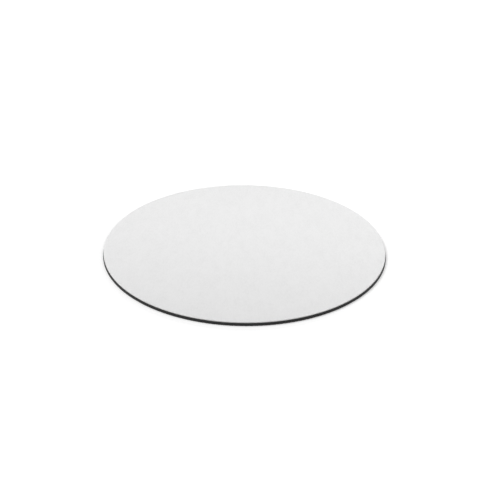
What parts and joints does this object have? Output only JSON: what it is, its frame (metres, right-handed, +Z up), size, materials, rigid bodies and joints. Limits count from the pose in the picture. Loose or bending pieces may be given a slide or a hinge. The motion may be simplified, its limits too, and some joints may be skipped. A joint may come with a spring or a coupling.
{
  "type": "mouse pad",
  "caption": "Round flat mouse pad: a white knit cloth face bonded to a black sponge rubber base, on which a computer mouse slides.",
  "frame": {"origin": "on the desk, at the centre of the base's flat underside", "axes": "+Z up, out of the cloth face along the pad's axis; the pad is round, so +X and +Y are any two directions at right angles in the desk's plane"},
  "size_m": [0.22, 0.22, 0.0028],
  "materials": {
    "rubber_black": "matte",
    "film_clear": "satin",
    "cloth_white": "matte"
  },
  "bodies": {
    "root": {"rubber_base": "rubber_black", "adhesive_film": "film_clear", "cloth_face": "cloth_white"}
  },
  "joints": []
}
